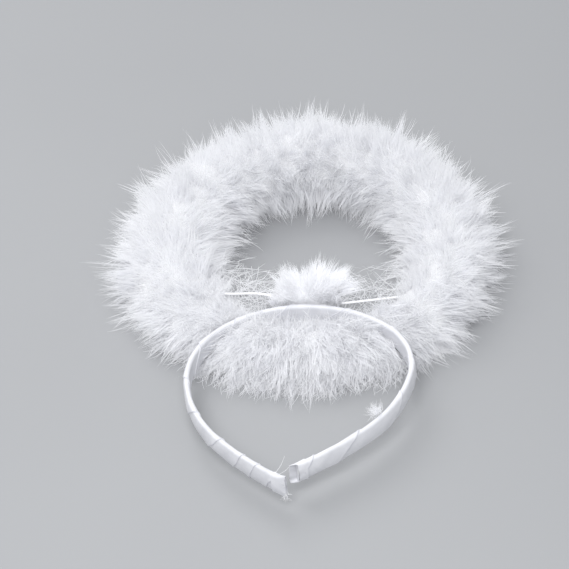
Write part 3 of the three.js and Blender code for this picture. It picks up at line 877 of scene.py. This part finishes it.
# The tuft behind the crown
FAN_LOCKS = 9
FAN_BUNDLES = 8


def tuft_centre():
    x, behind, up = TUFT_HEAD
    return CROWN + np.array([x, WRAPPED_OUTER_FACE + behind, HOOP_LIFT + up])


def make_tuft():
    rng = np.random.default_rng(31)
    centre = tuft_centre()
    count = 10000
    bundles = count // 9
    extra = rng.uniform(0, 1, bundles) ** 2.4
    # the longer bundles stand in a few locks, with gaps between them
    in_lock = extra > 0.42
    lock = rng.integers(0, TUFT_LOCKS, bundles)
    lock_across = rng.uniform(-0.95, 1.0, TUFT_LOCKS)[lock] + rng.normal(0, 0.02, bundles)
    lock_lean = rng.uniform(15, 115, TUFT_LOCKS)[lock] + rng.normal(0, 2, bundles)
    across = np.where(in_lock, lock_across, rng.uniform(-1, 1, bundles))
    lean = np.radians(np.where(in_lock, lock_lean, rng.uniform(-30, 125, bundles)))
    sideways = 0.85 * across + rng.normal(0, 1, bundles) * np.where(in_lock, 0.02, 0.14)
    way = unit(np.stack([sideways, np.cos(lean), np.sin(lean)], 1))
    length = TUFT_LENGTH * (0.34 + 0.84 * extra)
    length *= 1 - 0.4 * np.clip((np.degrees(lean) - 80) / 70, 0, 1)
    length *= np.interp(across, (-1.0, -0.4, 0.3, 0.75, 1.0), (0.80, 0.86, 0.96, 1.02, 0.9))
    scatter = np.where(in_lock, 0.55, 2.1)[:, None]
    roots = centre + way * 2.5 + rng.normal(0, 1, (bundles, 3)) * scatter
    roots[:, 0] += 0.4 * TUFT_HEAD_WIDTH * across
    tips = roots + way * length[:, None] + rng.normal(0, 0.8, (bundles, 3)) * scatter
    # longer locks that fan out to the right
    for fan in np.linspace(0, 1, FAN_LOCKS):
        pick = rng.integers(0, bundles, FAN_BUNDLES)
        in_lock[pick] = True
        start = np.array([11 - 2 * fan, 2, 3 * fan])
        end = np.array([38 - 16 * fan, 6 + 4 * fan, 2 + 16 * fan])
        roots[pick] = centre + start + rng.normal(0, 0.8, (FAN_BUNDLES, 3))
        middle = centre + start + (end - start) * rng.uniform(0.8, 1.1)
        tips[pick] = middle + rng.normal(0, 0.9, (FAN_BUNDLES, 3))
    # short barbs at its foot, close behind the crown's top edge
    foot = rng.uniform(0, 1, bundles) < 0.30
    short = foot.sum()
    along = rng.uniform(-17, 19, short)
    out = rng.uniform(4.0, 7.0, short)
    roots[foot] = set_on_hoop(along, out, rng.uniform(1, 5, short))
    out = rng.uniform(2.6, 4.8, short)
    tips[foot] = set_on_hoop(along * 1.15, out, rng.uniform(7.4, 13.0, short))
    owner = rng.integers(0, bundles, count)
    gather = np.where(in_lock, 0.2, 0.5)
    points = bundle_barbs(roots, tips, owner, 1.1, gather, rng, 1.3, 1.6)
    points[..., 2] = np.maximum(points[..., 2], 1.0)
    nearest = CROWN[1] + WRAPPED_OUTER_FACE + 0.3
    over = points[..., 2] > HOOP_LIFT + 2 * WRAPPED_HALF_WIDTH + 0.6
    fits = ((points[..., 1] > nearest) | over).all(1) & clear_of_hoop(points)
    points = points[fits]
    tuft = barbs_object("crown_tuft_down", points, rng.uniform(0.17, 0.29, len(points)), rng)
    finish_piece(tuft, tuft_white, "crown_tuft", "crown_tuft")
    # the tuft's lumpy core
    rings, sides = 22, 34
    rows = []
    for lat in np.linspace(-math.pi / 2 + 0.05, math.pi / 2 - 0.05, rings):
        level = math.cos(lat)
        for lon in np.linspace(0, 2 * math.pi, sides, endpoint=False):
            bump = 1 + 0.10 * math.sin(3 * lon + 2 * lat) * level
            step = np.array([level * math.cos(lon), level * math.sin(lon), math.sin(lat)])
            step *= np.array([TUFT_HEAD_WIDTH / 2, 0.9 * TUFT_HEAD_RADIUS, TUFT_HEAD_RADIUS])
            p = centre + 0.95 * bump * step
            p[1] = max(p[1], nearest)
            rows.append(p)
    core = grid_object("crown_tuft_core", np.array(rows).reshape(rings, sides, 3), caps=True)
    finish_piece(core, tuft_white, "crown_tuft", "crown_tuft")


make_tuft()


# Loose curly down between the tuft and the ring
# For each side: degrees round the ring from and to, shafts, and curls on each
LOOSE_PATCHES = ((198, 232, 42, 9), (308, 338, 24, 8))


def curls(name, starts, ends, curl, width, rng, steps=9, most=1.6):
    """Barbs from starts to ends that each wind round their own line, by up to so many turns."""
    count = len(starts)
    t = np.linspace(0, 1, steps)[None, :, None]
    run = ends - starts
    a = unit(np.cross(run, rng.normal(size=(count, 3))))
    b = unit(np.cross(run, a))
    turns = rng.uniform(0.3, 1, (count, 1, 1)) * most * 2 * np.pi
    size = curl * rng.uniform(0.4, 1.0, (count, 1, 1))
    wound = a[:, None] * np.sin(turns * t) + b[:, None] * (np.cos(turns * t) - 1)
    points = starts[:, None] + run[:, None] * t + size * t * wound
    points[..., 2] = np.maximum(points[..., 2], 0.4)
    points = points[clear_of_hoop(points)]
    return barbs_object(name, points, np.full(len(points), width), rng)


def make_loose_down():
    rng = np.random.default_rng(77)
    starts, ends = [], []
    for low, high, shafts, curls_each in LOOSE_PATCHES:
        root = down_point(rng.uniform(low, high, shafts), rng.uniform(130, 178, shafts), 0.7)
        aim = tuft_centre() + rng.normal(0, 1, (shafts, 3)) * np.array([7, 9, 6]) - root
        middle = root + aim * 0.35 + rng.normal(0, 3.5, (shafts, 3))
        far = root + aim * rng.uniform(0.45, 0.75, (shafts, 1))
        t = rng.uniform(0, 1, (shafts, curls_each, 1))
        at = root[:, None] * (1 - t) ** 2 + 2 * middle[:, None] * t * (1 - t) + far[:, None] * t**2
        at = at.reshape(-1, 3)
        way = rng.normal(0, 1, at.shape)
        way = unit(way) + 0.7 * np.repeat(unit(aim), curls_each, 0)
        starts.append(at)
        ends.append(at + way * rng.uniform(6, 15, (len(at), 1)))
    loose = curls("halo_loose_down", np.vstack(starts), np.vstack(ends), 2.0, 0.17, rng, 8, 0.6)
    finish_piece(loose, barb_white, "halo_boa", "halo_boa")


make_loose_down()


def make_crown_down():
    """Down pushed up against the crown's inner face, and the curly fringe in front of it."""
    rng = np.random.default_rng(44)
    bundles = 900
    count = 8500
    along = rng.uniform(-52, 60, bundles)
    deep = rng.uniform(0, 1, bundles) ** 1.5
    roots = set_on_hoop(along, -3.6 - 8 * deep, rng.uniform(-9, -4.5, bundles))
    top = -2.6 + 4.2 * np.exp(-(((along + 27) / 17) ** 2))
    height = top - 3.0 * deep - 2.4 * rng.uniform(0, 1, bundles)
    tips = set_on_hoop(along + rng.normal(0, 4, bundles), -2.5 - 8 * deep, height)
    owner = rng.integers(0, bundles, count)
    points = bundle_barbs(roots, tips, owner, 1.1, 0.5, rng, 0.9)
    points[..., 2] = np.maximum(points[..., 2], 0.5)
    points = points[clear_of_hoop(points)]
    fill = barbs_object("halo_down_at_crown", points, rng.uniform(0.13, 0.22, len(points)), rng)
    finish_piece(fill, loop_white, "halo_boa", "halo_boa")
    count = 900
    degrees = rng.uniform(236, 306, count)
    starts = down_point(degrees, rng.uniform(-30, 25, count), rng.uniform(0.70, 0.93, count))
    lean = ((-0.25, 0.5), (-1, 0.3), (-0.35, 0.3))
    way = np.stack([rng.normal(middle, spread, count) for middle, spread in lean], 1)
    ends = starts + way * rng.uniform(2.5, 6.5, (count, 1))
    # a tangle under the strip, to the right of the crown's middle
    tangle = 130
    along = rng.uniform(-6, 30, tangle)
    out = rng.uniform(-9, -4, tangle)
    foot = set_on_hoop(along, out, rng.uniform(-6, 0, tangle))
    aim = rng.normal(0, 1, (tangle, 3)) * np.array([1.0, 0.8, 0.5]) + np.array([0.4, -0.4, 0.2])
    starts = np.vstack([starts, foot])
    ends = np.vstack([ends, foot + aim * rng.uniform(3, 7, (tangle, 1))])
    fringe = curls("halo_fringe", starts, ends, 1.6, 0.17, rng, 8, 0.8)
    finish_piece(fringe, barb_white, "halo_boa", "halo_boa")


make_crown_down()


# Degrees round the ring, and round its cord, of single strays that stand well clear
STRAY_SPOTS = ((128, 58), (152, 30), (158, 24), (146, 40), (2, 14), (84, 66), (265, 8))


def make_strays():
    """Single long barbs that stand out past the rest, in twos and threes."""
    rng = np.random.default_rng(90)
    groups = 240
    degrees = rng.uniform(0, 360, groups)
    outer_side = rng.uniform(0, 1, groups) < 0.7
    outer = rng.uniform(-20, 80, groups)
    inner = rng.uniform(150, 200, groups)
    around = np.where(outer_side, outer, inner)
    clear = len(STRAY_SPOTS)
    degrees[:clear], around[:clear] = np.transpose(STRAY_SPOTS)
    owner = np.repeat(np.arange(groups), rng.integers(1, 5, groups))
    count = len(owner)
    reach = np.clip(rng.normal(1.1, 0.07, groups), 0.98, 1.24)
    reach[:clear] = 1.3
    root = down_point(degrees[owner], around[owner], 0.5) + rng.normal(0, 1.0, (count, 3))
    swing = rng.normal(0, 4, groups)[owner]
    share = reach[owner] * rng.uniform(0.9, 1, count)
    tip = down_point(degrees[owner] + swing + rng.normal(0, 0.8, count), around[owner], share)
    tip = tip + rng.normal(0, 0.8, (count, 3))
    points = bend_barbs(root, tip, rng, 2.2, np.linspace(0, 1, 7))
    points[..., 2] = np.maximum(points[..., 2], 0.5)
    points = points[clear_of_hoop(points)]
    strays = barbs_object("halo_strays", points, np.full(len(points), 0.23), rng)
    finish_piece(strays, barb_white, "halo_boa", "halo_boa")


make_strays()


def make_caught_down():
    """A bit of down caught on the right arm's inner top edge."""
    rng = np.random.default_rng(15)
    count = 180
    over = rng.uniform(0, 1, count)
    foot = set_on_hoop(rng.normal(133, 1.5, count), -2.4 + 1.2 * over, 4.6 + 3.0 * over)
    way = unit(rng.normal(0, 1, (count, 3)) + np.array([-1.1, 0.9, 0.5]))
    aside = rng.normal(0, 1, (count, 3)) * np.array([1.0, 0.7, 0.5])
    starts = foot + aside + np.array([-0.3, 0.2, 0.2])
    ends = starts + way * rng.uniform(2.5, 7.5, (count, 1))
    bit = curls("ribbon_caught_down", starts, ends, 0.9, 0.11, rng, 6)
    finish_piece(bit, barb_white, "halo_boa", "ribbon_wrap")


make_caught_down()


def make_threads():
    """Ribbon threads pulled loose at the left tip."""
    rng = np.random.default_rng(63)
    threads, low_threads = 34, 28
    steps, sides = 7, 5
    rings = steps + 1
    rows = []
    tip, before = set_on_hoop([-ARM_LENGTH, 6 - ARM_LENGTH], 0.0, 0.0)
    onwards = (tip - before) / 6
    for k in range(threads):
        up = rng.uniform(-7.6, -3.2) if k < low_threads else rng.uniform(-3, 6.5)
        foot = set_on_hoop([-ARM_LENGTH + rng.uniform(0.1, 1.2)], rng.uniform(0, 1.5), up)[0]
        way = onwards * 0.6 + rng.normal(0, 0.35, 3) + np.array([-0.2, -0.2, -0.45])
        path = [foot]
        length = rng.uniform(1.2, 4.2)
        for _ in range(steps):
            way = way + rng.normal(0, 0.28, 3)
            way /= np.linalg.norm(way)
            spot = path[-1] + way * length / steps
            spot[2] = max(spot[2], 0.2)
            path.append(spot)
        rows.append(tube_rows(path, np.linspace(0.09, 0.05, rings), sides))
    for start, end in (((-187.0, 6.3), (5.5, 7.0, 6.5)), ((-188.5, 6.4), (7.0, 4.0, 3.0))):
        foot = set_on_hoop([start[0]], np.array([0.8]), np.array([start[1]]))[0]
        middle = foot + np.array(end) * 0.5 + np.array([0.8, -1.0, 0.8])
        path = smooth_path([foot, middle, foot + np.array(end)], rings)
        rows.append(tube_rows(path, np.linspace(0.10, 0.06, rings), sides))
    firsts = np.arange(len(rows)) * rings * sides
    quads = firsts[:, None, None] + grid_quads(rings, sides, rings - 1, sides)
    points = np.reshape(rows, (-1, 3))
    frayed = mesh_object("end_wrap_threads", points, quads.ravel(), np.full(quads.size // 4, 4))
    finish_piece(frayed, thread_white, "end_wrap_left", "end_wrap_left")


make_threads()


# Camera at the photo's angle, with the focal length in pixels that was fitted to the photo
PHOTO_WIDTH = 569
FOCAL_PIXELS = 1800
SENSOR_WIDTH = 36


def add_camera():
    elevation = math.radians(40.0)
    azimuth = math.radians(5.0)
    roll = math.radians(-3.07)
    distance = 1083.1
    target = CROWN + np.array([-14.51, 44.59, 0.0])
    level = math.cos(elevation)
    look = np.array([-math.sin(azimuth) * level, math.cos(azimuth) * level, -math.sin(elevation)])
    right = np.array([math.cos(azimuth), math.sin(azimuth), 0.0])
    up = np.cross(right, look)
    x_axis = math.cos(roll) * right + math.sin(roll) * up
    y_axis = -math.sin(roll) * right + math.cos(roll) * up
    place = (target - look * distance) * MM
    camera = new_object("camera", bpy.data.cameras.new("camera"))
    matrix = np.eye(4)
    matrix[:3] = np.stack([x_axis, y_axis, -look, place], 1)
    camera.matrix_world = Matrix(matrix.tolist())
    camera.data.sensor_width = SENSOR_WIDTH
    camera.data.lens = FOCAL_PIXELS / PHOTO_WIDTH * SENSOR_WIDTH
    camera.data.clip_end = 20
    bpy.context.scene.camera = camera


def add_light(name, place, target, size, power):
    data = bpy.data.lights.new(name, "AREA")
    data.shape = "DISK"
    data.size = size
    data.energy = power
    lamp = new_object(name, data)
    lamp.location = place
    aim = Vector(target) - Vector(place)
    lamp.rotation_euler = aim.to_track_quat("-Z", "Y").to_euler()


def add_stage():
    data = bpy.data.meshes.new("floor")
    data.from_pydata([(-4, -4, 0), (4, -4, 0), (4, 4, 0), (-4, 4, 0)], [], [(0, 1, 2, 3)])
    floor = new_object("floor", data)
    material, tree, shader, place = new_material("floor_grey")
    tone = noise_node(tree, 3, 2, place)
    ramp = ramp_node(tree, tone, (0.30, 0.304, 0.315), (0.315, 0.32, 0.33))
    tree.links.new(ramp, shader.inputs["Base Color"])
    shader.inputs["Roughness"].default_value = 0.7
    data.materials.append(material)
    world = bpy.data.worlds.new("studio")
    world.use_nodes = True
    background = world.node_tree.nodes["Background"]
    set_sockets(background, {"Color": (0.95, 0.97, 1.0, 1), "Strength": 0.7})
    bpy.context.scene.world = world
    add_light("key", (-0.1, -0.85, 1.3), (0, 0, 0), 1.1, 19)
    add_light("fill", (-0.6, 0.9, 1.2), (0, 0, 0), 1.2, 11)
    bpy.context.scene.view_settings.view_transform = "Standard"


add_camera()
add_stage()
